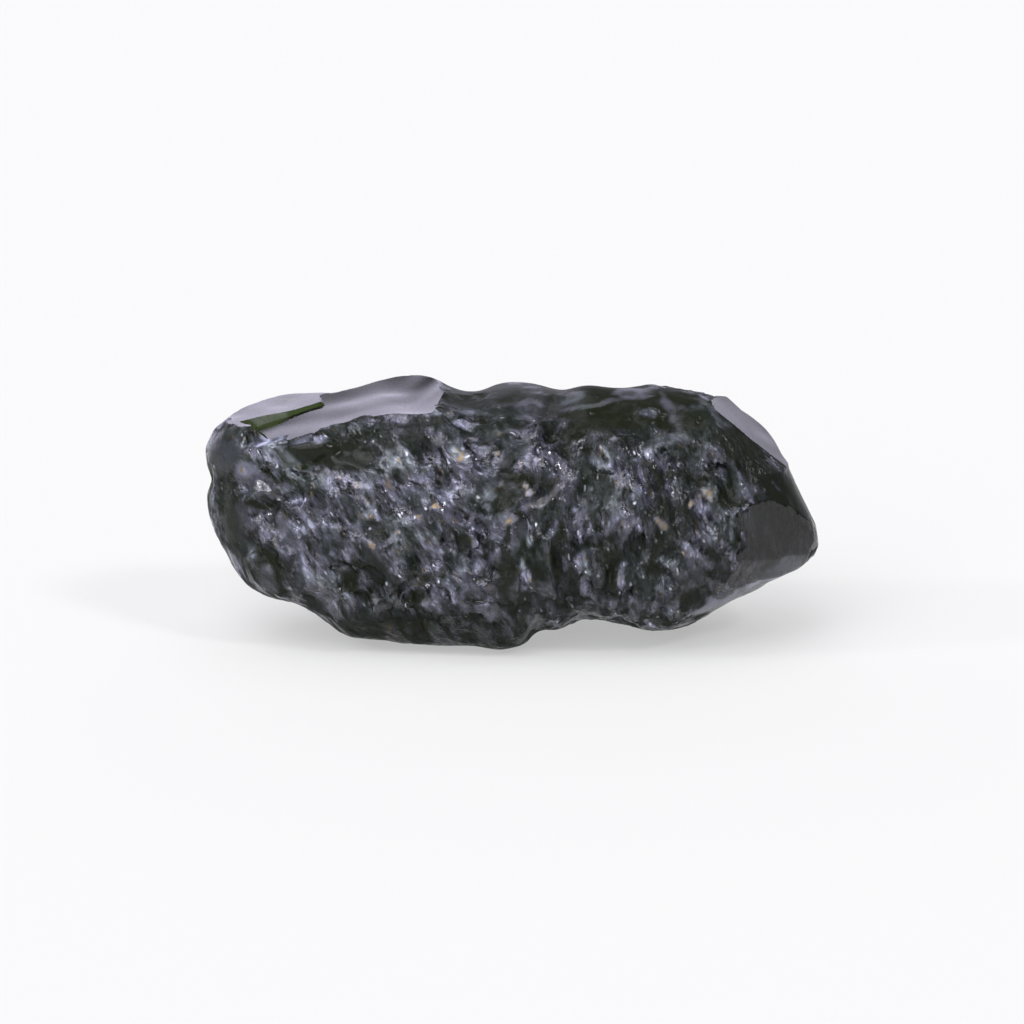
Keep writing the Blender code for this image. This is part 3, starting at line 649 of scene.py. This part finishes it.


# Clear glass mixed by depth with dark paint, which is painted shade and, on the riser and the green
# areas, painted green light, then with pale frost that partly stands in for glints, with haze and soil.
def glassMaterial():
    material = bpy.data.materials.new("moldaviteGlass")
    tree = Tree(material)
    layers = ("fresh", "riser", "glint", "soil", "paintedGreen", "worn", "sheen", "hazeAndReflection", "ahead", "backing")
    fresh, riser, glint, soil, paintedGreen, worn, sheen, hazeAndReflection, ahead, backing = [
        tree.add("ShaderNodeAttribute", {"attribute_name": name}, output="Fac") for name in layers]
    place = tree.add("ShaderNodeTexCoord", output="Object")
    place = tree.add("ShaderNodeVectorMath", {"operation": "SCALE"}, {0: place, "Scale": 1 / mm})
    drawn = drawnPlace(tree, place)
    etched = (1 - fresh) * (1 - worn)

    # Each cell of the grain is a cup; chance picks the cups that are frosted, pale paint that partly
    # stands in for their glints, and the few that get a painted sparkle highlight.
    cups, height = 0, 0
    for rate in glassLook["cupRates"]:
        cell = tree.add("ShaderNodeTexVoronoi", None, {"Vector": drawn, "Scale": rate})
        pick = tree.add("ShaderNodeSeparateXYZ", None, {0: cell.beside("Color")})
        cup = cell.eased(*glassLook["cupEnds"])
        cups = cups + cup * pick * pick * pick
        sparkling = cup * pick.beside("Y").eased(*glassLook["sparkleEnds"])
        deepness = glassLook["cupLeast"] + pick.beside("Z")
        height = height - cup * deepness * (glassLook["cupSteepness"] / rate)
    bump = tree.add("ShaderNodeBump", None, {
        "Strength": 1.0, "Distance": glassLook["cupDepth"], "Height": height * etched})

    # Frost, partly painted glints, gathers in clumps, haze lies between them, and worn areas have pale
    # haze of their own, in places a painted reflection.
    clumps = tree.noise(drawn, glassLook["clumpRate"], 4.0)
    clumps = clumps + (glint - glassLook["clumpMean"]) * glassLook["clumpShift"]
    mist = tree.noise(drawn, glassLook["hazeRate"], 3.0).eased(*glassLook["hazeEnds"])
    frostAndGlint = cups * glassLook["frostAndGlint"] * clumps.eased(*glassLook["clumpFrostAndGlint"])
    frostAndGlint = (frostAndGlint + mist * glassLook["haze"] * clumps.eased(*glassLook["clumpHaze"])) * glint
    frostAndGlint = (frostAndGlint + sparkling * glint * glassLook["sparkle"] + soil * glassLook["soil"]) * etched
    uneven = tree.noise(place, glassLook["unevenRate"], 3.0).eased(*glassLook["hazeAndReflectionEnds"])
    frostAndGlint = frostAndGlint + uneven * hazeAndReflection * (1 - fresh) * glassLook["wornHaze"]
    grit = tree.noise(drawn, glassLook["gritRate"], 2.0).eased(*glassLook["gritEnds"])
    grains = pick.beside("Y").eased(*glassLook["grainPick"])
    soiled = (soil * glassLook["soilTint"] + grains) * grit
    patches = tree.noise(place, glassLook["patchRate"], 2.0)
    dull = patches.eased(*glassLook["dullEnds"])
    frostAndGlintColor = tree.blend(dull, glassLook["frostAndGlintColor"], glassLook["dullColor"])
    frostAndGlintColor = tree.blend(sparkling, frostAndGlintColor, glassLook["sparkleColor"])
    frostAndGlintPaint = tree.add("ShaderNodeBsdfPrincipled", None, {
        "Base Color": tree.blend(soiled, frostAndGlintColor, glassLook["soilColor"]), "Roughness": 0.5,
        "Normal": bump})

    rough = patches.eased(*glassLook["roughEnds"], *glassLook["etchedRoughness"]) * (1 - worn)
    rough = (rough + glassLook["wornRoughness"] * worn) * (1 - fresh)
    rough = rough + glassLook["freshRoughness"] * fresh
    glass = tree.add("ShaderNodeBsdfPrincipled", None, {
        "Base Color": (1, 1, 1, 1), "Roughness": rough, "IOR": glassLook["ior"],
        "Transmission Weight": 1.0, "Normal": bump})

    # Between the glints the skin gets painted shade, olive-tinted where there are no glints, and on the
    # riser and the green areas painted green that stands in for light seen through the glass.
    glintless = glint.eased(*glassLook["glintlessEnds"])
    paintedGreenShare = paintedGreen + riser * (1 - paintedGreen)
    darkColor = tree.blend(glintless * (1 - sheen), glassLook["paintedShadeColor"], glassLook["paintedOliveShadeColor"])
    paintedShadeAndGreen = tree.add("ShaderNodeBsdfPrincipled", None, {
        "Base Color": tree.blend(paintedGreenShare, darkColor, glassLook["paintedGreenColor"]), "Roughness": 0.6,
        "Specular IOR Level": 0.0, "Normal": bump, "Coat Roughness": 0.2,
        "Coat Weight": sheen * glassLook["sheenCoat"] + backing * glassLook["backCoat"]})
    # The share of the dark paint: painted shade between the clumps, where glints are few and on worn
    # areas, all of the back behind the backing, and the painted green on green areas.
    deep = clumps.eased(*glassLook["deepEnds"]) * (1 - glintless) + glintless * glassLook["glintlessDeep"]
    deep = deep * (1 - worn) + worn * (glassLook["wornDeep"] - glassLook["sheenClear"] * sheen)
    deep = (deep * glassLook["paintedShadeAndGreen"] * ahead + backing) * (1 - fresh)
    deep = deep * (1 - paintedGreenShare) + paintedGreenShare * glassLook["paintedGreen"]

    surface = tree.add("ShaderNodeMixShader", None, {0: deep, 1: glass, 2: paintedShadeAndGreen})
    surface = tree.add("ShaderNodeMixShader", None, {0: frostAndGlint, 1: surface, 2: frostAndGlintPaint})
    inside = tree.add("ShaderNodeVolumeAbsorption", None, {
        "Color": glassLook["absorbColor"], "Density": glassLook["absorbDensity"]})
    tree.add("ShaderNodeOutputMaterial", None, {"Surface": surface, "Volume": inside})
    return material


studio = {
    "floorSize": 6.0, "floorColor": (0.36, 0.36, 0.33, 1), "floorGlow": 0.43,
    "lens": 200.0, "sensor": 36.0, "elevation": radians(14), "frameWidth": 0.05053,
    # azimuth from the camera, elevation, strength, angular size, colour
    "suns": [(-45, 58, 1.75, 56, (0.97, 0.97, 1.08)), (-20, 35, 1.5, 46, (0.97, 0.97, 1.08)),
             (45, 40, 0.9, 10, (0.97, 0.97, 1.04)), (-75, 28, 0.5, 6, (0.97, 0.97, 1.04)),
             (180, 74, 0.65, 50, (1.0, 0.97, 1.12))],
    "ambient": 0.2, "ambientColor": (0.97, 0.98, 1.1, 1),
    "backdrop": 1.35, "backdropColor": (1.02, 0.98, 1.22, 1), "paleColor": (0.93, 0.93, 0.94, 1),
}


def makeFloor():
    half = studio["floorSize"] / 2 / mm
    floor = addMesh("studioFloor", np.array([(-half, -half, 0), (half, -half, 0), (half, half, 0),
                                             (-half, half, 0)]), np.array([(0, 1, 2, 3)]))
    material = bpy.data.materials.new("studioFloor")
    tree = Tree(material)
    pale = tree.add("ShaderNodeBsdfPrincipled", None, {
        "Base Color": studio["floorColor"], "Roughness": 0.9, "Specular IOR Level": 0.0,
        "Emission Color": (1, 1, 1, 1), "Emission Strength": studio["floorGlow"]})
    tree.add("ShaderNodeOutputMaterial", None, {"Surface": pale})
    floor.data.materials.append(material)


# Dim all round, with a soft bright backdrop low behind the stone; the camera itself sees it pale.
def makeWorld():
    world = bpy.data.worlds.new("studio")
    bpy.context.scene.world = world
    tree = Tree(world)
    x = tree.add("ShaderNodeSeparateXYZ", None, {0: tree.add("ShaderNodeTexCoord")})
    backdrop = x.beside("Y").eased(0.2, 0.75) * x.beside("Z").eased(0.775, 0.325) * x.eased(0.9, 0.1)
    around = tree.add("ShaderNodeBackground", None, {
        "Color": tree.blend(backdrop, studio["ambientColor"], studio["backdropColor"]),
        "Strength": studio["ambient"] + studio["backdrop"] * backdrop})
    pale = tree.add("ShaderNodeBackground", None, {"Color": studio["paleColor"]})
    seen = tree.add("ShaderNodeLightPath", output="Is Camera Ray")
    surface = tree.add("ShaderNodeMixShader", None, {0: seen, 1: around, 2: pale})
    tree.add("ShaderNodeOutputWorld", None, {"Surface": surface})


def makeLights():
    for azimuth, elevation, strength, size, color in studio["suns"]:
        data = bpy.data.lights.new("studioLight", "SUN")
        data.energy, data.angle, data.color = strength, radians(size), color
        lamp = bpy.data.objects.new("studioLight", data)
        a, e = radians(azimuth), radians(elevation)
        toLamp = Vector((sin(a) * cos(e), -cos(a) * cos(e), sin(e)))
        lamp.rotation_euler = toLamp.to_track_quat("Z", "Y").to_euler()
        bpy.context.scene.collection.objects.link(lamp)


# Looks at the stone's middle height, from far enough for the frame to be frameWidth across.
def makeCamera():
    data = bpy.data.cameras.new("camera")
    data.lens, data.sensor_width = studio["lens"], studio["sensor"]
    data.clip_start, data.clip_end = 0.01, 20.0
    camera = bpy.data.objects.new("camera", data)
    back = Vector((0, -cos(studio["elevation"]), sin(studio["elevation"])))
    distance = studio["frameWidth"] * studio["lens"] / studio["sensor"]
    camera.location = Vector((0, 0, -stone["floor"] * mm)) + back * distance
    camera.rotation_euler = back.to_track_quat("Z", "Y").to_euler()
    bpy.context.scene.collection.objects.link(camera)
    bpy.context.scene.camera = camera


bpy.context.scene.view_settings.view_transform = "Standard"
makeFloor()
makeWorld()
makeLights()
makeCamera()
print("studio made")
moldavite = makeStone()
moldavite.data.materials.clear()
moldavite.data.materials.append(glassMaterial())
print("glass made")
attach(moldavite, "root")
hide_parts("moldavite")
